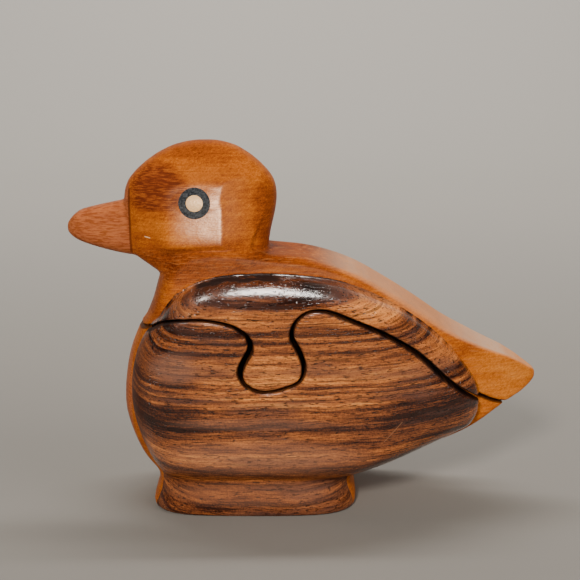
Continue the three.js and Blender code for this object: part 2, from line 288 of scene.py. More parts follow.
def select_points(piece, chosen):
    """Enters edit mode with the points selected that a test of their place picks out."""
    edit_all(piece)
    bpy.ops.mesh.select_all(action="DESELECT")
    bpy.ops.mesh.select_mode(type="VERT")
    leave_edit()
    for vertex in piece.data.vertices:
        vertex.select = chosen(vertex.co)
    bpy.ops.object.mode_set(mode="EDIT")
    bpy.ops.mesh.select_mode(type="EDGE")


def boolean(piece, operation, tool):
    """Cuts a piece with a tool, or keeps what both share."""
    apply_modifier(piece, "BOOLEAN", operation=operation, object=tool, solver="EXACT")


def remeshed(piece):
    apply_modifier(piece, "REMESH", mode="VOXEL", voxel_size=settings("carving").grid, adaptivity=0)


def places(piece):
    """The places of a mesh's points, one row each."""
    found = np.empty(len(piece.data.vertices) * 3, np.float32)
    piece.data.vertices.foreach_get("co", found)
    return found.reshape(-1, 3)


def directions(piece):
    """The normals of a mesh's points, one row each."""
    found = np.empty(len(piece.data.vertices) * 3, np.float32)
    piece.data.vertices.foreach_get("normal", found)
    return found.reshape(-1, 3)


def sides_of(piece):
    """The two points of each edge of a mesh."""
    found = np.empty(len(piece.data.edges) * 2, np.int32)
    piece.data.edges.foreach_get("vertices", found)
    return found.reshape(-1, 2)


def weigh(piece, weights):
    """Puts weights from 0 to 1 on the points of a mesh, in small steps."""
    group = piece.vertex_groups.new(name="weights")
    levels = np.rint(np.clip(weights, 0, 1) * WEIGHT_STEPS).astype(int)
    for level in range(1, WEIGHT_STEPS + 1):
        chosen = np.flatnonzero(levels == level)
        if len(chosen):
            group.add(chosen.tolist(), level / WEIGHT_STEPS, "REPLACE")
    return group.name


def ramp(value, low, high):
    """Rises smoothly from 0 at low to 1 at high."""
    t = np.clip((value - low) / (high - low), 0, 1)
    return t * t * (3 - 2 * t)


def smooth(piece, passes, weights=None, axes="xyz"):
    """Evens out a mesh, more or less by the weights of its points."""
    group = "" if weights is None else weigh(piece, weights)
    apply_modifier(piece, "SMOOTH", factor=0.5, iterations=passes, vertex_group=group,
                   use_x="x" in axes, use_y="y" in axes, use_z="z" in axes)
    piece.vertex_groups.clear()


def sand(piece, passes, weights):
    """Smooths a mesh, and gives its broad curves back the fullness that smoothing takes from them."""
    smooth(piece, passes, weights)
    once = places(piece)
    smooth(piece, passes, weights)
    full = 2 * once - places(piece)
    piece.data.vertices.foreach_set("co", full.ravel())
    piece.data.update()


# Saw cut

def curve_through(stations, steps):
    """Points on a smooth curve through the stations, with knots spaced by the root of their distance."""
    points = [Vector(p) for p in stations]
    points = [2 * points[0] - points[1], *points, 2 * points[-1] - points[-2]]
    found = []
    for a, b, c, d in zip(points, points[1:], points[2:], points[3:]):
        gaps = [math.sqrt((q - p).length) for p, q in ((a, b), (b, c), (c, d))]
        start = (b - a) / gaps[0] - (c - a) / (gaps[0] + gaps[1]) + (c - b) / gaps[1]
        end = (c - b) / gaps[1] - (d - b) / (gaps[1] + gaps[2]) + (d - c) / gaps[2]
        start *= gaps[1]
        end *= gaps[1]
        for i in range(steps):
            t = i / steps
            found.append(b + start * t + (3 * (c - b) - 2 * start - end) * t * t
                         + (2 * (b - c) + start + end) * t ** 3)
    found.append(points[-2])
    return found


def saw_edges():
    """The lid's edge and the box's edge of the saw cut, each a list of [x, z]."""
    line = [p * MM for p in curve_through(SAW_LINE, SAW_STEPS)]
    half = settings("carving").saw_cut / 2
    edges = []
    for sign in (1, -1):
        edge = []
        for i, p in enumerate(line):
            along = (line[min(i + 1, len(line) - 1)] - line[max(i - 1, 0)]).normalized()
            across = Vector((-along.y, along.x))
            wider = ramp(p.x, *WIDER_FROM) * (1 - ramp(p.x, *WIDER_TO))
            edge.append(p + across * sign * half * (1 + WIDER_BY * wider) + LID_SETTLE * sign / 2)
        edges.append(edge)
    return edges


def saw_ribbon():
    """The wood that the saw took: a ribbon right through from side to side."""
    lid_edge, box_edge = saw_edges()
    outline = [*lid_edge, *reversed(box_edge)]
    mesh = bpy.data.meshes.new("saw_ribbon")
    reach = 2 * GLUE_Y
    count = len(lid_edge)
    mesh.from_pydata([(p.x, -reach, p.y) for p in outline], [],
                     [(i, i + 1, 2 * count - 2 - i, 2 * count - 1 - i) for i in range(count - 1)])
    ribbon = bpy.data.objects.new("saw_ribbon", mesh)
    bpy.context.scene.collection.objects.link(ribbon)
    edit_all(ribbon)
    bpy.ops.mesh.extrude_region_move(TRANSFORM_OT_translate={"value": (0, 2 * reach, 0)})
    bpy.ops.mesh.select_all(action="SELECT")
    bpy.ops.mesh.normals_make_consistent(inside=False)
    leave_edit()
    return ribbon


def distance_to_saw(points):
    """How far each place is from the middle of the saw cut, in the side view."""
    line = np.array([p * MM for p in curve_through(SAW_LINE, SAW_STEPS)])
    nearest = np.full(len(points), np.inf)
    for p in line:
        nearest = np.minimum(nearest, np.hypot(points[:, 0] - p[0], points[:, 2] - p[1]))
    return nearest


# Carving

def solids_of(part):
    """The three boards of the box or the lid, with the glue lines closed."""
    pieces = [merged_copy(part + "_center_board")]
    for side_name, side in SIDES:
        pieces.append(moved(merged_copy(f"{part}_{side_name}_board"), 0, -side * GLUE_OVERLAP, 0))
    return pieces


def pocket_filler():
    """What the pocket took out of the box, so that the outside can be carved over a whole block."""
    across = -8  # turned over to the inside and stretched, so that it spans the pocket
    filler = resized(merged_copy("base_left_board"), (1, across, 1), (0, -SIDE_INNER_Y, 0))
    margin = 0.3 * MM
    cut_away(filler, (0, SIDE_INNER_Y, 0), (0, 1, 0))
    cut_away(filler, (POCKET_BREAST_X - margin, 0, 0), (-1, 0, 0))
    cut_away(filler, (POCKET_TAIL_X + margin, 0, 0), (1, 0, 0))
    cut_away(filler, (0, 0, POCKET_FLOOR_Z - margin), (0, 0, -1))
    return filler


def eye_fillers():
    """The inlays of both eyes, grown enough to close the gaps round them."""
    fillers = []
    for side_name, side in SIDES:
        center = (EYE_CENTER.x, side * GLUE_Y, EYE_CENTER.z)
        for node, grow in (("_eye_ring", RING_GROWTH), ("_eye_center", DISC_GROWTH)):
            fillers.append(resized(merged_copy(side_name + node), (grow, DEPTH_GROWTH, grow), center))
    return fillers


def saw_fillers(box, lid):
    """Shifted copies of box and lid that close the saw cut between them."""
    fillers = []
    shift = FILLER_SHIFT * settings("carving").saw_cut
    for solid, up in ((box, 1), (lid, -1)):
        filler = moved(copy_of(solid, "saw_filler"), 0, 0, up * shift)
        cut_away(filler, (FILLER_TAIL_X, 0, 0), (1, 0, 0))
        if solid == lid:
            cut_away(filler, (0, 0, FILLER_TOP_Z), (0, 0, 1))
        else:
            cut_away(filler, FILLER_BREAST, FILLER_BREAST_DOWN)
        fillers.append(filler)
    for toward in (-1, 1):
        filler = moved(copy_of(lid, "tab_filler"), toward * shift, 0, 0)
        cut_away(filler, (TAB_LOW_X, 0, 0), (-1, 0, 0))
        cut_away(filler, (TAB_HIGH_X, 0, 0), (1, 0, 0))
        cut_away(filler, (0, 0, TAB_TOP_Z), (0, 0, 1))
        fillers.append(filler)
    return fillers


def hollow_line(piece):
    """1 along the sharp hollows of a mesh at the glue lines and next to them, 0 elsewhere."""
    points, edges = places(piece), sides_of(piece)
    count = np.bincount(edges.ravel(), minlength=len(points))[:, None]
    around = np.zeros_like(points)
    np.add.at(around, edges[:, 0], points[edges[:, 1]])
    np.add.at(around, edges[:, 1], points[edges[:, 0]])
    depth = ((around / count - points) * directions(piece)).sum(axis=1)
    at_glue = np.abs(np.abs(points[:, 1]) - GLUE_Y) < HOLLOW_REACH
    marked = ((depth > HOLLOW_DEPTH) & at_glue & (points[:, 2] > HOLLOW_LOW_Z)).astype(float)
    for _ in range(HOLLOW_STEPS):
        spread = marked.copy()
        np.maximum.at(spread, edges[:, 0], HOLLOW_FADE * marked[edges[:, 1]])
        np.maximum.at(spread, edges[:, 1], HOLLOW_FADE * marked[edges[:, 0]])
        marked = spread
    return marked


def cut_cheeks(block):
    """Flattens the cheeks round the eyes, and cuts the facets behind them."""
    points = places(block)
    x, y, z = points.T
    width = np.abs(y)
    cheek = settings("carving").cheek_half_width - CHEEK_LEAN * (z - CHEEK_BOTTOM_Z) ** 2
    fuller = ramp(x, *CHEEK_FRONT) * ramp(z, *CHEEK_JAW) * (1 - ramp(z, *CHEEK_CROWN))
    fuller *= ramp(width, *CHEEK_INWARDS)
    new_width = width + np.maximum(cheek - width, 0) * fuller
    facet = cheek - FACET_SLOPE * (x - settings("carving").cheek_arris)
    cut = ramp(x, *FACET_FRONT) * ramp(z, *FACET_JAW)
    new_width -= np.maximum(new_width - facet, 0) * cut
    points[:, 1] = np.sign(y) * new_width
    block.data.vertices.foreach_set("co", points.ravel())
    block.data.update()


def carved_block():
    """The whole duck before it is sawn, as one finely carved and sanded skin."""
    box = joined([*solids_of("base"), pocket_filler()], "box_solid")
    lid = joined([*solids_of("lid"), *eye_fillers()], "lid_solid")
    block = joined([box, lid, *saw_fillers(box, lid)], "block")
    remeshed(block)
    smooth(block, SKIN_PASSES)
    points = places(block)
    x, z = points[:, 0], points[:, 2]
    weights = (1 - HOLLOW_KEPT * hollow_line(block)) * (1 - BEAK_KEPT * ramp(-x, *BEAK_FROM))
    weights *= 1 - TAIL_KEPT * ramp(x, *TAIL_FROM)
    weights *= FOOT_SANDED + (1 - FOOT_SANDED) * ramp(z, *FOOT_UP_TO)
    sand(block, settings("carving").sanding, weights)
    cut_cheeks(block)
    points, normals = places(block), directions(block)
    faces = ramp(np.abs(normals[:, 1]), *SIDE_FACING)
    faces *= ramp(np.abs(points[:, 1]), *SIDE_OUT)
    smooth(block, FACE_PASSES, faces, axes="y")
    return block


def press_inside(piece):
    """Presses in what stands a hair outside the box round the frame's solids."""
    low, high = (np.array(corner) for corner in CAD_BOX)
    points = np.clip(places(piece), low + HAIR, high - HAIR).astype(np.float32)
    piece.data.vertices.foreach_set("co", points.ravel())
    piece.data.update()


def mark_cut_walls(piece):
    """Marks the walls of the saw cut with 1 and the rest of the mesh with 0, for the finishes, which paint
    shade on them and dull their lacquer.
    """
    points = places(piece)
    near = np.flatnonzero(distance_to_saw(points) < NEAR_CUT)
    side_view = points[near][:, ::2]
    nearest = np.full(len(near), np.inf)
    for edge in saw_edges():
        for start, end in zip(edge, edge[1:]):
            run = np.array(end - start)
            offset = side_view - np.array(start)
            share = np.clip(offset @ run / (run @ run), 0, 1)
            nearest = np.minimum(nearest, np.linalg.norm(offset - share[:, None] * run, axis=1))
    walls = np.zeros(len(points))
    walls[near] = 1 - ramp(nearest, *CUT_WALL_REACH)
    marks = piece.data.attributes.new("cut_wall", "FLOAT", "POINT")
    marks.data.foreach_set("value", walls.astype(np.float32))


def sawn(block):
    """The box and the lid that one saw cut parts the block into, with their edges eased."""
    ribbon = saw_ribbon()
    boolean(block, "DIFFERENCE", ribbon)
    remove(ribbon)
    edit_all(block)
    bpy.ops.mesh.separate(type="LOOSE")
    leave_edit()
    parts = sorted(bpy.context.selected_objects, key=lambda o: len(o.data.vertices))[-2:]
    for scrap in set(bpy.context.selected_objects) - set(parts):
        remove(scrap)
    lid, box = sorted(parts, key=lambda o: -places(o)[:, 2].mean())
    for part in (lid, box):
        remeshed(part)
        smooth(part, SKIN_PASSES)
        points = places(part)
        outside = EASED_INSIDE + (1 - EASED_INSIDE) * ramp(np.abs(points[:, 1]), *EASED_OUT)
        near = 1 - ramp(distance_to_saw(points), *EASED_REACH)
        smooth(part, settings("carving").edge_sanding, near * outside)
        press_inside(part)
        mark_cut_walls(part)
    return box, lid


def split_boards(skin, part):
    """The carved skin cut along both glue lines into its three boards."""
    boards = {}
    for side_name, side in SIDES:
        board = copy_of(skin, f"{part}_{side_name}_panel")
        cut_away(board, (0, side * WOOD_EDGE_Y, 0), (0, -side, 0))
        boards[side_name] = board
    center = copy_of(skin, f"{part}_middle_panel")
    cut_away(center, (0, -WOOD_EDGE_Y, 0), (0, -1, 0))
    cut_away(center, (0, WOOD_EDGE_Y, 0), (0, 1, 0))
    boards["center"] = center
    return boards


def pocket_cutter():
    """A block of the pocket's shape: rounded at its breast end, with a ramp at its tail end."""
    size = (POCKET_TAIL_X - POCKET_BREAST_X, 2 * (WOOD_EDGE_Y + POCKET_SPARE), POCKET_TOP_Z - POCKET_FLOOR_Z)
    middle = ((POCKET_TAIL_X + POCKET_BREAST_X) / 2, 0, (POCKET_TOP_Z + POCKET_FLOOR_Z) / 2)
    bpy.ops.object.select_all(action="DESELECT")
    bpy.ops.mesh.primitive_cube_add(size=1, location=middle, scale=size)
    cutter = bpy.context.active_object
    cutter.name = "pocket_cutter"
    bpy.ops.object.transform_apply(location=True, rotation=True, scale=True)
    edit_all(cutter)
    bpy.ops.mesh.bisect(plane_co=(POCKET_RAMP_X, 0, 0), plane_no=(1, 0, 0))
    leave_edit()
    select_points(cutter, lambda p: p.x > POCKET_TAIL_X - MM and p.z < POCKET_FLOOR_Z + MM)
    bpy.ops.transform.translate(value=(0, 0, POCKET_RAMP_Z - POCKET_FLOOR_Z))
    bpy.ops.mesh.bevel(offset=POCKET_RAMP_CORNER, segments=POCKET_CORNER_STEPS, affect="EDGES")
    leave_edit()
    select_points(cutter, lambda p: p.x < POCKET_BREAST_X + MM and p.z < POCKET_FLOOR_Z + MM)
    bpy.ops.mesh.bevel(offset=POCKET_CORNER, segments=POCKET_CORNER_STEPS, affect="EDGES")
    leave_edit()
    return cutter


def rod(name, radius, side):
    """A cylinder along Y at an eye, from the bottom of its recess to well outside the head."""
    reach = GLUE_Y + DRILL_REACH
    inner = GLUE_Y - EYE_DEPTH
    bpy.ops.object.select_all(action="DESELECT")
    bpy.ops.mesh.primitive_cylinder_add(
        vertices=DRILL_SIDES, radius=radius, depth=reach - inner,
        location=(EYE_CENTER.x, side * (reach + inner) / 2, EYE_CENTER.z), rotation=(math.pi / 2, 0, 0))
    made = bpy.context.active_object
    made.name = name
    bpy.ops.object.transform_apply(location=True, rotation=True, scale=True)
    return made


def eye_block(skin, side, name):
    """The block of the head round one eye, from which its inlays are cut."""
    block = copy_of(skin, name)
    reach = EYE_RADIUS + BLOCK_MARGIN
    cut_away(block, (0, side * (GLUE_Y - EYE_DEPTH - BLOCK_MARGIN), 0), (0, -side, 0))
    for sign in (-1, 1):
        cut_away(block, (EYE_CENTER.x + sign * reach, 0, 0), (sign, 0, 0))
        cut_away(block, (0, 0, EYE_CENTER.z + sign * reach), (0, 0, sign))
    return block


def finish_piece(piece, body, slot, material, *nodes):
    """Shades a piece, gives it its wood and sets it in the frame."""
    only(piece)
    bpy.ops.object.shade_smooth_by_angle(angle=SMOOTH_ANGLE)
    piece.data.materials.clear()
    piece.data.materials.append(material)
    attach(piece, body)
    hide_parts(*nodes)


# Finishes

def add(tree, kind, inputs=(), output=0, **options):
    """Adds a shader node, sets or links its inputs, and gives one of its outputs."""
    made = tree.nodes.new("ShaderNode" + kind)
    for key, value in options.items():
        setattr(made, key, value)
    for key, value in dict(inputs).items():
        if isinstance(value, bpy.types.NodeSocket):
            tree.links.new(value, made.inputs[key])
        else:
            made.inputs[key].default_value = value
    return made.outputs[output]


def calc(tree, operation, *values):
    return add(tree, "Math", enumerate(values), operation=operation)


def rise(tree, value, low, high):
    """0 below low and 1 above high, or the other way round where low is the larger."""
    limits = {"From Min": min(low, high), "From Max": max(low, high),
              "To Min": float(low > high), "To Max": float(low <= high)}
    return add(tree, "MapRange", {"Value": value, **limits}, interpolation_type="SMOOTHSTEP")


def between(tree, value, low, high, soft):
    """1 between low and high, fading to 0 over a soft margin outside them."""
    return product(tree, rise(tree, value, low - soft, low), rise(tree, value, high + soft, high))


def grain(tree, place, size, detail=2, seed=0):
    """Noise from 0 to 1 whose marks are about this long along each axis, in mm."""
    spread = add(tree, "Mapping", {"Vector": place, "Location": (seed, seed, seed),
                                   "Scale": [1 / length for length in size]})
    return add(tree, "TexNoise", {"Vector": spread, "Scale": 1, "Detail": detail})


def wander(tree, noise, reach):
    """Noise turned into a shift of up to about half the reach to either side."""
    return product(tree, calc(tree, "SUBTRACT", noise, 0.5), reach)


def total(tree, first, *others):
    for other in others:
        first = calc(tree, "ADD", first, other)
    return first


def product(tree, first, *others):
    for other in others:
        first = calc(tree, "MULTIPLY", first, other)
    return first


def highest(tree, first, *others):
    for other in others:
        first = calc(tree, "MAXIMUM", first, other)
    return first


def figure(tree, place, marks):
    """Layers of marks in the wood, each given as its size in mm, detail, seed, and how strong it is."""
    layers = []
    for size, detail, seed, strength in marks:
        layers.append(wander(tree, grain(tree, place, size, detail, seed), strength))
    return layers


def tones(tree, value, stops):
    """A colour for each level of a value, with smooth steps between them."""
    made = tree.nodes.new("ShaderNodeValToRGB")
    tree.links.new(value, made.inputs[0])
    points = made.color_ramp.elements
    while len(points) < len(stops):
        points.new(1)
    for point, (level, color) in zip(points, stops):
        point.position = level
        point.color = (*color, 1) if len(color) == 3 else color
    return made.outputs[0]


def stain(tree, color, over, amount):
    """Lays a colour over another by an amount from 0 to 1."""
    under, upper = (c if isinstance(c, bpy.types.NodeSocket) else (*c, 1) for c in (color, over))
    return add(tree, "Mix", {0: amount, 6: under, 7: upper}, output=2, data_type="RGBA")


def wood_finish(name):
    """A new wood under lacquer, with the places on it in mm as one vector and as x, y and z."""
    material = bpy.data.materials.new(name)
    material.use_nodes = True
    tree = material.node_tree
    meters = add(tree, "TexCoord", output="Object")
    place = add(tree, "Mapping", {"Vector": meters, "Scale": (1 / MM, 1 / MM, 1 / MM)})
    split = add(tree, "SeparateXYZ", {"Vector": place}).node
    return material, tree, place, tuple(split.outputs)


def lacquer(tree, color, height, depth, roughness, coat, coat_roughness, body_gloss=0.3):
    """Joins a colour and a relief to the shader, under a coat of lacquer."""
    shader = tree.nodes["Principled BSDF"]
    relief = add(tree, "Bump", {"Height": height, "Distance": depth, "Strength": 1})
    tree.links.new(color, shader.inputs["Base Color"])
    tree.links.new(relief, shader.inputs["Normal"])
    tree.links.new(relief, shader.inputs["Coat Normal"])
    tree.links.new(roughness, shader.inputs["Roughness"])
    if isinstance(coat, bpy.types.NodeSocket):
        tree.links.new(coat, shader.inputs["Coat Weight"])
    else:
        shader.inputs["Coat Weight"].default_value = coat
    shader.inputs["Coat Roughness"].default_value = coat_roughness
    shader.inputs["Specular IOR Level"].default_value = body_gloss


def cut_walls(tree):
    """1 on the walls of the saw cut and 0 elsewhere."""
    return add(tree, "Attribute", attribute_name="cut_wall", output=2)


def with_painted_cut_shade(tree, color):
    """Paints shade on the walls of the saw cut: nearly black, standing in for the shadow inside the narrow
    cut.
    """
    return stain(tree, color, CUT_WALL_SHADE, product(tree, cut_walls(tree), 0.8))


def patch(tree, axes, center, reach):
    """1 in the middle of an oval patch of the side view, fading to 0 at its edge."""
    parts = []
    for axis, middle, half in ((axes[0], center[0], reach[0]), (axes[2], center[1], reach[1])):
        offset = calc(tree, "DIVIDE", calc(tree, "SUBTRACT", axis, middle), half)
        parts.append(product(tree, offset, offset))
    return rise(tree, calc(tree, "ADD", *parts), 1, 0.15)


def scratch(tree, axes, start, end, width):
    """1 on a straight scratch of the side view from start to end, each [x, z] in mm."""
    run = Vector(end) - Vector(start)
    along, across = run.normalized(), run.orthogonal().normalized()
    x = calc(tree, "SUBTRACT", axes[0], start[0])
    z = calc(tree, "SUBTRACT", axes[2], start[1])
    down = total(tree, *(product(tree, axis, part) for axis, part in zip((x, z), along)))
    aside = total(tree, *(product(tree, axis, part) for axis, part in zip((x, z), across)))
    line = rise(tree, calc(tree, "ABSOLUTE", aside), width, width / 3)
    return product(tree, line, between(tree, down, 0, run.length, 0.4))


# Growth layers of the dark boards from the foot up: height in mm where each meets the board's face, and how
# light it is, from 0 for black lines to 1 for the palest bands
LAYERS = [
    (2, 0.42), (5.5, 0.36), (7, 0.33), (9, 0.6), (11.3, 0.42), (14.4, 0.3), (17, 0.56), (20.4, 0.62),
    (22.6, 0.34), (25.4, 0.56), (27, 0.5), (29.3, 0.32), (32.6, 0.56), (34.6, 0.38), (36.5, 0.78),
    (37.6, 0.46), (38.8, 0.76), (40.2, 0.42), (41.2, 0.64), (42, 0.26), (43.6, 0.6), (49.6, 0.66),
    (52, 0.54), (52.6, 0.12), (53.4, 0.56), (54.8, 0.5), (55.4, 0.1), (56.6, 0.52), (58.2, 0.22),
    (61.5, 0.56), (65, 0.5), (66.6, 0.12),
]
LAYER_TOP = 90

# How the growth layers lie, in mm: how steeply they climb outwards at the breast and at the tail, the stretch
# over which that changes, the face they are counted at, how they fan out behind the breast, and their waves
LAYER_CLIMB = 0.6
LAYER_CLIMB_TAIL = 0.18
LAYER_CHANGE = (15, 45)
LAYER_FACE_Y = 26
FAN_FROM_X = -5
FAN_OUT = 0.0008
LAYER_WAVES = [((45, 30, 14), 1, 0, 3), ((9, 9, 3.5), 2, 7, 0.9)]

# Patches of the dark boards: middle [x, layer] and half size in mm, and how much lighter they are; the last,
# lighter low on the box, is painted sheen, a painted reflection of the floor
DARK_BOARD_PATCHES = [
    ((5, 47), (15, 10), 0.16), ((-25, 66), (9, 6), 0.12), ((-21.5, 67), (3.5, 4.5), -0.4),
    ((53, 50), (18, 9), -0.05), ((58, 32), (26, 14), -0.2), ((-39, 30), (8, 26), -0.1),
    ((-28, 38), (16, 18), -0.2), ((20, 63), (50, 6), 0.2), ((50, 66), (30, 12), 0.2),
    ((-20, 59.5), (20, 4), -0.14), ((3, 69.5), (26, 2.5), 0.2), ((0, 20), (40, 7), 0.14),
]

# Where the dark boards look dusty, partly dust and partly painted sheen low on the box, a painted reflection
# of the
# floor: middle [x, z] and half size in mm, and how much
DUST_AND_SHEEN_PATCHES = [
    ((-24, 48), (9, 6), 0.28), ((2, 20), (40, 7), 0.35), ((0, 7), (34, 5), 0.25), ((0, 31), (30, 2.5), 0.25),
]

# Colours of the dark boards that the panel doesn't hold
BLACK_LINE = (0.007, 0.0018, 0.001)
PALE_LINE = (0.85, 0.33, 0.085)
HAZE = (0.13, 0.06, 0.045)
PORE = (0.008, 0.002, 0.001)
THIN_LINE = (0.022, 0.006, 0.003)
# Near black of the dark streak by the lid's top edge, and of the painted shade in the grooves at the glue
# lines
STREAK_AND_JOINT_SHADE = (0.012, 0.003, 0.001)
BREAST_END = (0.12, 0.042, 0.024)
# Pale pinkish grey of dust, and of the painted sheen low on the box
DUST_AND_SHEEN = (0.32, 0.17, 0.12)
BARE_SCRATCH = (0.3, 0.13, 0.06)
# Painted shade: the nearly black colour of the saw cut's walls, standing in for the shadow inside the cut
CUT_WALL_SHADE = (0.006, 0.002, 0.001)

# Marks that lighten and darken the dark boards along their growth layers
ROSEWOOD_MARKS = [((60, 40, 4.5), 1, 3, 0.5), ((22, 20, 1.4), 2, 11, 0.75), ((7, 6, 0.4), 1, 23, 0.6)]
ROSEWOOD_SPECKS = [((0.5, 0.45, 0.4), 1, 61, 0.42)]

# Black streak by the top edge of the lid's side boards: its reach out from the middle of the duck, from which
# it strays, its stretch along the duck, and its lowest height, in mm
STREAK_OUT = 18.3
STREAK_ALONG = (-16, 7)
STREAK_LOW_Z = 62

# Dark line next to the glue lines, partly a dark glue line and partly painted shade of the groove at the
# joint, as a distance from the middle of the duck in mm
GLUE_LINE_Y = 14.65

# Scratch low on the side boards: its ends, each [x, z], and its width in mm
SCRATCH = ((39.5, 25.5), (44.6, 31.4))
SCRATCH_WIDTH = 0.22


def growth_layer(tree, place, axes):
    """The depth from the middle, the height of the growth layer at each place, and a vector with both."""
    x, y, z = axes
    depth = calc(tree, "ABSOLUTE", y)
    change = rise(tree, x, *LAYER_CHANGE)
    climb = calc(tree, "MULTIPLY_ADD", change, LAYER_CLIMB_TAIL - LAYER_CLIMB, LAYER_CLIMB)
    slant = product(tree, calc(tree, "SUBTRACT", depth, LAYER_FACE_Y), climb)
    behind = calc(tree, "MAXIMUM", calc(tree, "ADD", x, -FAN_FROM_X), 0)
    fan = product(tree, calc(tree, "POWER", behind, 2), -FAN_OUT)
    layer = total(tree, z, slant, fan, *figure(tree, place, LAYER_WAVES))
    return depth, layer, add(tree, "CombineXYZ", {0: x, 1: depth, 2: layer})


def rosewood(name):
    """Dark striped rosewood of the side boards."""
    material, tree, place, (x, y, z) = wood_finish(name)
    finish = settings("finish")
    depth, layer, grown = growth_layer(tree, place, (x, y, z))
    stripes = tones(tree, calc(tree, "DIVIDE", layer, LAYER_TOP),
                    [(height / LAYER_TOP, (light,) * 3) for height, light in LAYERS])
    tone = total(tree, stripes, *figure(tree, grown, ROSEWOOD_MARKS), *figure(tree, place, ROSEWOOD_SPECKS))
    for center, reach, lighter in DARK_BOARD_PATCHES:
        tone = calc(tree, "MULTIPLY_ADD", patch(tree, (x, y, layer), center, reach), lighter, tone)
    color = tones(tree, tone, [(0, BLACK_LINE), (0.22, finish.rosewood_dark), (0.47, finish.rosewood_middle),
                               (0.74, finish.rosewood_light), (1, PALE_LINE)])
    haze = rise(tree, grain(tree, grown, (32, 20, 7), 2, 31), 0.5, 0.66)
    color = stain(tree, color, HAZE, product(tree, haze, 0.5))
    pores = rise(tree, grain(tree, grown, (2.2, 0.6, 0.34), 1, 41), 0.58, 0.66)
    color = stain(tree, color, PORE, product(tree, pores, 0.8))
    thin = rise(tree, grain(tree, grown, (30, 16, 0.5), 2, 71), 0.55, 0.66)
    color = stain(tree, color, THIN_LINE, product(tree, thin, 0.6))
    ragged = total(tree, depth, wander(tree, grain(tree, place, (5, 3, 3), 3, 83), 4.5))
    streak = product(tree, rise(tree, ragged, STREAK_OUT + 0.4, STREAK_OUT - 0.4),
                     between(tree, x, *STREAK_ALONG, 3), rise(tree, z, STREAK_LOW_Z - 2, STREAK_LOW_Z + 2),
                     rise(tree, grain(tree, place, (4, 3, 1.2), 2, 89), 0.3, 0.5))
    # Dark line at the glue lines: partly a dark joint, partly painted shade of the groove there
    joint_line_and_shade = rise(tree, depth, GLUE_LINE_Y + 0.25, GLUE_LINE_Y - 0.25)
    streak_and_joint_shade = highest(tree, streak, product(tree, joint_line_and_shade, 0.25))
    color = stain(tree, color, STREAK_AND_JOINT_SHADE, product(tree, streak_and_joint_shade, 0.92))
    color = stain(tree, color, BREAST_END, product(tree, rise(tree, x, -30, -38), 0.55))
    # Pale patches: partly dust, partly painted sheen low on the box
    for center, reach, amount in DUST_AND_SHEEN_PATCHES:
        color = stain(tree, color, DUST_AND_SHEEN, product(tree, patch(tree, (x, y, z), center, reach), amount))
    nick = scratch(tree, (x, y, z), *SCRATCH, SCRATCH_WIDTH)
    color = stain(tree, color, BARE_SCRATCH, product(tree, nick, 0.7))
    height = total(tree, grain(tree, grown, (1.2, 0.5, 0.4), 2, 53), product(tree, pores, -0.7),
                   product(tree, nick, -1.5))
    dull = highest(tree, streak_and_joint_shade, product(tree, rise(tree, x, -30, -35), 0.85),
                   product(tree, rise(tree, z, 17, 12), 0.75), cut_walls(tree))
    shine = calc(tree, "MULTIPLY_ADD", dull, 0.55, calc(tree, "MULTIPLY_ADD", tone, 0.08, 0.22))
    lacquer(tree, with_painted_cut_shade(tree, color), height, depth=0.06 * MM, roughness=shine,
            coat=calc(tree, "MULTIPLY_ADD", dull, -0.95, 1), coat_roughness=0.17, body_gloss=0.12)
    return material


# Patches of the middle board: middle [x, z] and half size in mm, and how much lighter they are; the last two,
# darker at the nape and on the ledge of the neck under the head, are painted shade
LIGHT_BOARD_PATCHES = [
    ((-14, 76), (20, 7), -0.13), ((75, 40), (20, 12), 0.16), ((-24, 88), (12, 8), 0.06),
    ((-12, 112), (24, 6), -0.12), ((-28, 70), (9, 16), -0.1), ((12, 78), (20, 6), -0.2),
    ((4, 92), (5, 14), -0.2), ((-12, 79), (26, 6), -0.14),
]

# Worn forehead: middle [x, z] and half size in mm, and the brow where it stops
FOREHEAD = ((-28.5, 99.5), (10.5, 9.5))
BROW_Z = 93.4

# Root of the beak, and the heights between which a line of painted shade follows it, standing in for the
# shadow of the step there
BEAK_X = -37.6
BEAK_LOW_Z = 80
BEAK_HIGH_Z = 99

# The painted sheen of the back, a painted reflection on its upward-facing slopes and top, begins over this
# stretch of x; z + 0.52 x tells it from the walls of the cut under it
SHEEN_ON_BACK_FROM = (14, 40)
BACK_SLOPE = 0.52
BACK_LEVEL = (79.5, 81.5)

# Height below which the wood shows file marks
FILED_BELOW_Z = 81

# Polished cheek: where it lies along and up the head, in mm
POLISHED_ALONG = (-16, -9)
POLISHED_UP = (88, 104)

# Small nick low on the cheek: its ends, each [x, z], and its width in mm
NICK = ((-32.6, 85.3), (-31.3, 85))
NICK_WIDTH = 0.25

# Colours of the middle board that the panel doesn't hold
DARKEST_ORANGE = (0.1, 0.016, 0.004)
PALEST_ORANGE = (0.8, 0.3, 0.045)
WORN = (0.2, 0.045, 0.018)
FILED = (0.62, 0.24, 0.07)
# Painted shade of the step at the beak's root
BEAK_ROOT_SHADE = (0.1, 0.02, 0.008)
BARE_NICK = (0.85, 0.55, 0.3)

# Marks that lighten and darken the middle board
ORANGE_MARKS = [((14, 14, 5), 2, 0, 0.5), ((16, 6, 0.7), 2, 5, 0.4)]
MOTTLE = [((1.3, 0.9, 0.5), 2, 9, 0.5)]
MOTTLE_LEAN = math.radians(28)
ORANGE_SPECKS = [((0.4, 0.4, 0.35), 1, 19, 0.5)]


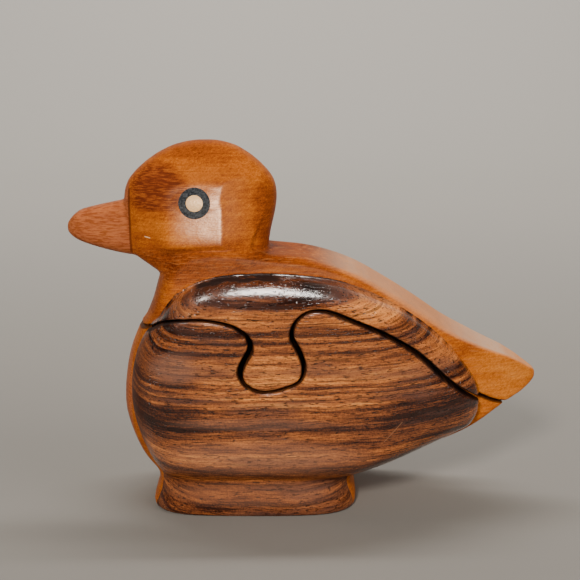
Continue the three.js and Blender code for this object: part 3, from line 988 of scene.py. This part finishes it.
def orange_wood(name):
    """Close-grained orange-brown wood of the middle board, the head and the tail."""
    material, tree, place, (x, y, z) = wood_finish(name)
    finish = settings("finish")
    leaning = add(tree, "VectorRotate", {"Vector": place, "Angle": MOTTLE_LEAN}, rotation_type="Y_AXIS")
    mottle = figure(tree, leaning, MOTTLE)[0]
    tone = total(tree, 0.5, *figure(tree, place, ORANGE_MARKS), mottle, *figure(tree, place, ORANGE_SPECKS))
    for center, reach, lighter in LIGHT_BOARD_PATCHES:
        tone = calc(tree, "MULTIPLY_ADD", patch(tree, (x, y, z), center, reach), lighter, tone)
    above_brow = rise(tree, z, BROW_Z - 0.6, BROW_Z + 0.8)
    worn = product(tree, patch(tree, (x, y, z), *FOREHEAD), above_brow)
    marks = rise(tree, grain(tree, place, (4, 1.5, 0.32), 3, 27), 0.4, 0.58)
    tone = calc(tree, "MULTIPLY_ADD", product(tree, worn, marks), -0.6, tone)
    color = tones(tree, tone, [(0, DARKEST_ORANGE), (0.35, finish.orange_dark), (0.6, finish.orange_light),
                               (1, PALEST_ORANGE)])
    color = stain(tree, color, WORN, product(tree, worn, 0.5))
    # Painted sheen: the back and tail are painted paler the more their surface faces up, standing in for a
    # reflection
    facing = add(tree, "SeparateXYZ", {"Vector": add(tree, "NewGeometry", output="Normal")}, output=2)
    over_cut = rise(tree, calc(tree, "MULTIPLY_ADD", x, BACK_SLOPE, z), *BACK_LEVEL)
    on_back = product(tree, rise(tree, x, *SHEEN_ON_BACK_FROM), over_cut)
    painted_slope_sheen = product(tree, rise(tree, facing, 0.35, 0.85), on_back)
    color = stain(tree, color, finish.painted_slope_sheen, product(tree, painted_slope_sheen, 0.5))
    painted_top_sheen = product(tree, rise(tree, facing, 0.82, 0.97), on_back)
    color = stain(tree, color, finish.painted_top_sheen, product(tree, painted_top_sheen, 0.75))
    # The beak's pinker colour is partly its own tone and partly painted sheen, a painted reflection of the
    # pale surroundings
    beak = rise(tree, x, BEAK_X + 0.3, BEAK_X - 0.3)
    ribs = rise(tree, grain(tree, place, (2.6, 1, 0.4), 3, 37), 0.4, 0.62)
    beak_and_sheen_color = stain(tree, finish.beak_tint_and_sheen, finish.beak_dark, ribs)
    color = stain(tree, color, beak_and_sheen_color, product(tree, beak, 0.7))
    filed = rise(tree, grain(tree, place, (5, 2, 0.35), 2, 33), 0.52, 0.7)
    low = rise(tree, z, FILED_BELOW_Z + 1, FILED_BELOW_Z - 1)
    color = stain(tree, color, FILED, product(tree, filed, low, 0.35))
    # Painted shade: a dark line along the beak's root, in place of the shadow of its step
    at_root = between(tree, x, BEAK_X - 0.1, BEAK_X + 0.3, 0.35)
    root_shade = product(tree, at_root, between(tree, z, BEAK_LOW_Z, BEAK_HIGH_Z, 1))
    color = stain(tree, color, BEAK_ROOT_SHADE, product(tree, root_shade, 0.75))
    color = stain(tree, color, BARE_NICK, scratch(tree, (x, y, z), *NICK, NICK_WIDTH))
    carved = product(tree, grain(tree, place, (6, 6, 4), 1, 43), 5)
    height = total(tree, grain(tree, place, (0.7, 0.5, 0.4), 2, 13), carved, mottle,
                   product(tree, filed, -0.3), product(tree, ribs, beak, 0.5))
    shine = calc(tree, "MULTIPLY_ADD", tone, 0.1, 0.36)
    polish = product(tree, between(tree, x, *POLISHED_ALONG, 10), between(tree, z, *POLISHED_UP, 6))
    lacquer(tree, with_painted_cut_shade(tree, color), height, depth=0.03 * MM, roughness=shine,
            coat=calc(tree, "MULTIPLY_ADD", polish, 0.9, 0.03), coat_roughness=0.33, body_gloss=0.02)
    return material


def slate_wood(name):
    """Slate-grey wood of the eye rings."""
    material, tree, place, _ = wood_finish(name)
    specks = grain(tree, place, (0.5, 0.5, 0.5), 2)
    color = tones(tree, specks, [(0.3, (0.008, 0.01, 0.014)), (0.7, settings("finish").slate)])
    lacquer(tree, color, specks, depth=0.03 * MM, roughness=rise(tree, specks, -0.6, 1.8),
            coat=0.9, coat_roughness=0.15)
    return material


def cream_wood(name):
    """Pale wood of the eyes' middle discs."""
    material, tree, place, _ = wood_finish(name)
    specks = grain(tree, place, (0.7, 0.7, 0.4), 2)
    color = tones(tree, specks, [(0.3, (0.86, 0.46, 0.16)), (0.7, settings("finish").cream)])
    lacquer(tree, color, specks, depth=0.02 * MM, roughness=rise(tree, specks, -1.2, 2.2),
            coat=0.9, coat_roughness=0.2)
    return material


WOODS = {
    "orange_close_grained_wood": orange_wood,
    "striped_rosewood": rosewood,
    "slate_grey_wood": slate_wood,
    "cream_wood": cream_wood,
}


def wood(name):
    """The wood of this name, made when it is first called for."""
    return bpy.data.materials.get(name) or WOODS[name](name)


def plain(name, color, roughness):
    """A matt finish of one colour, for the stage."""
    material = bpy.data.materials.new(name)
    material.use_nodes = True
    shader = material.node_tree.nodes["Principled BSDF"]
    shader.inputs["Base Color"].default_value = (*color, 1)
    shader.inputs["Roughness"].default_value = roughness
    return material


def length_setting(name, description, default):
    return FloatProperty(name=name, description=description, default=default, min=0, precision=5,
                         subtype="DISTANCE", unit="LENGTH")


def color_setting(name, description, default):
    return FloatVectorProperty(name=name, description=description, default=default, size=3, min=0, max=1,
                               subtype="COLOR")


class DuckCarving(bpy.types.PropertyGroup):
    """How the duck is carved, sawn and sanded"""

    grid: length_setting("Carving grid", "Grid that the carving is worked on; a finer one takes longer", GRID)
    saw_cut: length_setting("Saw cut", "Width of the saw cut between box and lid", SAW_CUT)
    cheek_half_width: length_setting("Cheek", "From the head's middle to its flat cheek", CHEEK_HALF_WIDTH)
    cheek_arris: FloatProperty(
        name="Cheek arris", description="Where the flat cheek ends, along X from the middle of the foot",
        default=CHEEK_ARRIS_X, precision=5, subtype="DISTANCE", unit="LENGTH")
    sanding: IntProperty(name="Sanding", description="Passes that round the carving's edges",
                         default=COARSE_PASSES, min=0, max=400)
    edge_sanding: IntProperty(name="Edge sanding", description="Passes that ease the edges of the saw cut",
                              default=EDGE_PASSES, min=0, max=100)


class DuckFinish(bpy.types.PropertyGroup):
    """Colours of the woods"""

    orange_light: color_setting("Orange wood", "Usual colour of the middle board", (0.52, 0.14, 0.014))
    orange_dark: color_setting("Orange wood, dark", "Darker figure of the middle board", (0.32, 0.07, 0.009))
    painted_slope_sheen: color_setting("Faded back", "Slopes of the back that light has bleached", (0.66, 0.34, 0.18))
    # The next two are painted sheen: colours of the back's upward-facing slopes and top, standing in for a
    # reflection
    painted_top_sheen: color_setting("Palest back", "Flat top of the back and tail, bleached most", (0.52, 0.41, 0.31))
    beak_tint_and_sheen: color_setting("Beak", "Usual colour of the beak", (0.5, 0.16, 0.07))
    # The beak's usual colour is partly its own tone and partly painted sheen
    beak_dark: color_setting("Beak ribs", "Fine dark ribs of the beak", (0.26, 0.066, 0.026))
    rosewood_light: color_setting("Rosewood, light", "Pale bands of the side boards", (0.53, 0.17, 0.042))
    rosewood_middle: color_setting("Rosewood", "Usual colour of the side boards", (0.23, 0.067, 0.02))
    rosewood_dark: color_setting("Rosewood, dark", "Dark bands of the side boards", (0.05, 0.012, 0.005))
    slate: color_setting("Eye rings", "Palest specks of the eye rings", (0.09, 0.1, 0.115))
    cream: color_setting("Eye discs", "Palest specks of the eye discs", (0.97, 0.64, 0.28))


class DuckStage(bpy.types.PropertyGroup):
    """Floor, light and camera"""

    floor: color_setting("Floor", "Colour of the floor and backdrop", (0.24, 0.232, 0.22))
    light: FloatProperty(name="Light", description="Strength of all lamps, as a share of the usual one",
                         default=1, min=0, max=10, subtype="FACTOR")
    lens: FloatProperty(name="Lens", description="Focal length of the camera in mm",
                        default=80, min=20, max=300)
    pitch: FloatProperty(name="Camera pitch", description="How far the camera looks down",
                         default=math.radians(13), subtype="ANGLE", unit="ROTATION")


def skin_of(part):
    """The carved skin of the box or the lid, not yet parted into boards."""
    skin = bpy.data.objects.get(part + "_skin")
    if skin is None:
        raise RuntimeError(f"no skin of the {part} is there to part into boards: carve and saw first")
    return skin


def finish_boards(boards, body):
    """Gives the three boards of the box or the lid their woods."""
    orange = wood("orange_close_grained_wood")
    finish_piece(boards["center"], body, "center_wood", orange, body + "_center_board")
    for side in ("left", "right"):
        finish_piece(boards[side], body, "side_wood", wood("striped_rosewood"), f"{body}_{side}_board")


class DUCKBOX_OT_block(bpy.types.Operator):
    """Carves the whole duck and saws it into box and lid"""

    bl_idname = "duckbox.block"
    bl_label = "Carve and saw"

    def execute(self, context):
        box, lid = sawn(carved_block())
        box.name = "box_skin"
        lid.name = "lid_skin"
        return {"FINISHED"}


class DUCKBOX_OT_box(bpy.types.Operator):
    """Parts the box into its three boards and saws out its pocket"""

    bl_idname = "duckbox.box"
    bl_label = "Box boards"

    def execute(self, context):
        skin = skin_of("box")
        boards = split_boards(skin, "box")
        cutter = pocket_cutter()
        boolean(boards["center"], "DIFFERENCE", cutter)
        remove(skin, cutter)
        finish_boards(boards, "base")
        return {"FINISHED"}


class DUCKBOX_OT_eyes(bpy.types.Operator):
    """Cuts the rings and discs of both eyes to the shape of the cheeks"""

    bl_idname = "duckbox.eyes"
    bl_label = "Eyes"

    def execute(self, context):
        skin = skin_of("lid")
        for side_name, side in SIDES:
            ring = eye_block(skin, side, side_name + "_ring_inlay")
            disc = copy_of(ring, side_name + "_disc_inlay")
            outer = rod("outer_rod", EYE_RADIUS, side)
            inner = rod("inner_rod", DISC_RADIUS, side)
            boolean(ring, "INTERSECT", outer)
            boolean(ring, "DIFFERENCE", inner)
            boolean(disc, "INTERSECT", inner)
            remove(outer, inner)
            finish_piece(ring, "lid", "eye_ring_wood", wood("slate_grey_wood"), side_name + "_eye_ring")
            finish_piece(disc, "lid", "eye_center_wood", wood("cream_wood"), side_name + "_eye_center")
        return {"FINISHED"}


class DUCKBOX_OT_lid(bpy.types.Operator):
    """Parts the lid into its three boards and drills the recesses for the eyes"""

    bl_idname = "duckbox.lid"
    bl_label = "Lid boards"

    def execute(self, context):
        skin = skin_of("lid")
        boards = split_boards(skin, "lid")
        for _, side in SIDES:
            drill = rod("drill", EYE_RADIUS, side)
            boolean(boards["center"], "DIFFERENCE", drill)
            remove(drill)
        remove(skin)
        finish_boards(boards, "lid")
        return {"FINISHED"}


# Stage

CAMERA_PLACE = (11.05 * MM, -392.67 * MM, 157.02 * MM)
SENSOR_WIDTH = 36
FLOOR_SIZE = 6
BACKDROP_Y = 1.3
BACKDROP_HEIGHT = 2.5
BACKDROP_BEND = 0.6
BACKDROP_BEND_STEPS = 24
FLOOR_ROUGHNESS = 0.9
AIR_COLOR = (0.95, 0.92, 0.88)
AIR_STRENGTH = 0.05

# Lamps: name, place, what each is aimed at, its size, power and colour, whether it lights the wood or only
# shows in its lacquer, and the pieces it falls on, where not on all
DUCK_MIDDLE = (0.01, 0, 0.055)
CHEEK_MIDDLE = (-0.018, 0, 0.094)
BOX_SIDES = ("box_left_panel", "box_right_panel")
ALL_SIDES = (*BOX_SIDES, "lid_left_panel", "lid_right_panel")
LAMPS = [
    ("key_light", (-0.155, -0.78, 0.48), DUCK_MIDDLE, (0.16, 0.16), 7.8, (1, 0.9, 0.78), "wood", ()),
    ("side_light", (0.85, -0.5, 0.6), DUCK_MIDDLE, (0.8, 0.6), 5, (1, 0.93, 0.85), "wood", ()),
    ("backdrop_light", (0, 0.45, 1.2), (0, BACKDROP_Y, 0.5), (1.6, 0.3), 50, (1, 0.95, 0.88), "wood", ()),
    ("gloss_light", (0, -0.16, 0.93), DUCK_MIDDLE, (0.3, 0.36), 14, (1, 0.93, 0.87), "lacquer", ALL_SIDES),
    ("left_gloss_light", (-0.45, -0.12, 0.82), DUCK_MIDDLE, (0.2, 0.2), 3, (1, 0.85, 0.75), "lacquer",
     ALL_SIDES),
    ("arch_gloss_light", (-0.107, -0.66, 0.49), DUCK_MIDDLE, (0.12, 0.12), 1.6, (1, 0.85, 0.75), "lacquer",
     BOX_SIDES),
    ("cheek_light", (0.012, -0.33, 0.06), CHEEK_MIDDLE, (0.034, 0.05), 2.4, (1, 0.66, 0.42), "lacquer",
     ("lid_middle_panel", "left_disc_inlay")),
]


def area_light(name, place, target, size, power, color, seen_in, on):
    """A soft lamp that lights the wood or only shows in its lacquer, on all pieces or on some."""
    light = bpy.data.lights.new(name, "AREA")
    light.shape = "ELLIPSE"
    light.size, light.size_y = size
    light.energy = power * settings("stage").light
    light.color = color
    lamp = bpy.data.objects.new(name, light)
    lamp.visible_camera = False
    lamp.visible_glossy = seen_in == "lacquer"
    lamp.visible_diffuse = seen_in == "wood"
    lamp.location = place
    lamp.rotation_euler = (Vector(target) - Vector(place)).to_track_quat("-Z", "Y").to_euler()
    bpy.context.scene.collection.objects.link(lamp)
    if on:
        lit = bpy.data.collections.new(name + "_falls_on")
        for piece in on:
            lit.objects.link(bpy.data.objects[piece])
        lamp.light_linking.receiver_collection = lit


class DUCKBOX_OT_stage(bpy.types.Operator):
    """Sets a pale floor, soft studio light and the camera"""

    bl_idname = "duckbox.stage"
    bl_label = "Stage"

    def execute(self, context):
        stage = settings("stage")
        bpy.ops.object.select_all(action="DESELECT")
        bpy.ops.mesh.primitive_plane_add(size=FLOOR_SIZE, location=(0, 0, 0))
        floor = bpy.context.active_object
        floor.name = "floor"
        select_points(floor, lambda p: p.y > 0)
        bpy.ops.transform.translate(value=(0, BACKDROP_Y - FLOOR_SIZE / 2, 0))
        bpy.ops.mesh.extrude_region_move(TRANSFORM_OT_translate={"value": (0, 0, BACKDROP_HEIGHT)})
        leave_edit()
        select_points(floor, lambda p: p.y > 0 and p.z < BACKDROP_HEIGHT / 2)
        bpy.ops.mesh.bevel(offset=BACKDROP_BEND, segments=BACKDROP_BEND_STEPS, affect="EDGES")
        leave_edit()
        bpy.ops.object.shade_smooth()
        floor.data.materials.append(plain("pale_floor", stage.floor, FLOOR_ROUGHNESS))
        world = bpy.data.worlds.new("studio_air")
        world.use_nodes = True
        air = world.node_tree.nodes["Background"]
        air.inputs["Color"].default_value = (*AIR_COLOR, 1)
        air.inputs["Strength"].default_value = AIR_STRENGTH
        bpy.context.scene.world = world
        for lamp in LAMPS:
            area_light(*lamp)
        lens = bpy.data.cameras.new("photo_camera")
        lens.lens = stage.lens
        lens.sensor_width = SENSOR_WIDTH
        lens.clip_start = 0.01
        camera = bpy.data.objects.new("photo_camera", lens)
        camera.location = CAMERA_PLACE
        camera.rotation_euler = (math.pi / 2 - stage.pitch, 0, 0)
        bpy.context.scene.collection.objects.link(camera)
        bpy.context.scene.camera = camera
        return {"FINISHED"}


STEPS = (DUCKBOX_OT_block, DUCKBOX_OT_box, DUCKBOX_OT_eyes, DUCKBOX_OT_lid, DUCKBOX_OT_stage)
GROUPS = {"duck_carving": DuckCarving, "duck_finish": DuckFinish, "duck_stage": DuckStage}


class DUCKBOX_PT_panel(bpy.types.Panel):
    """Settings and steps of the duck box"""

    bl_idname = "DUCKBOX_PT_panel"
    bl_label = "Duck box"
    bl_space_type = "VIEW_3D"
    bl_region_type = "UI"
    bl_category = "Duck box"

    def draw(self, context):
        for group, kind in GROUPS.items():
            column = self.layout.box().column()
            for key in kind.__annotations__:
                column.prop(getattr(context.scene, group), key)
        for step in STEPS:
            self.layout.operator(step.bl_idname)


CLASSES = (*GROUPS.values(), *STEPS, DUCKBOX_PT_panel)


def register():
    for each in CLASSES:
        bpy.utils.register_class(each)
    for group, kind in GROUPS.items():
        setattr(bpy.types.Scene, group, PointerProperty(type=kind))


def unregister():
    for group in GROUPS:
        delattr(bpy.types.Scene, group)
    for each in reversed(CLASSES):
        bpy.utils.unregister_class(each)


def main():
    register()
    bpy.ops.duckbox.block()
    bpy.ops.duckbox.box()
    bpy.ops.duckbox.eyes()
    bpy.ops.duckbox.lid()
    bpy.ops.duckbox.stage()


if __name__ == "__main__":
    main()
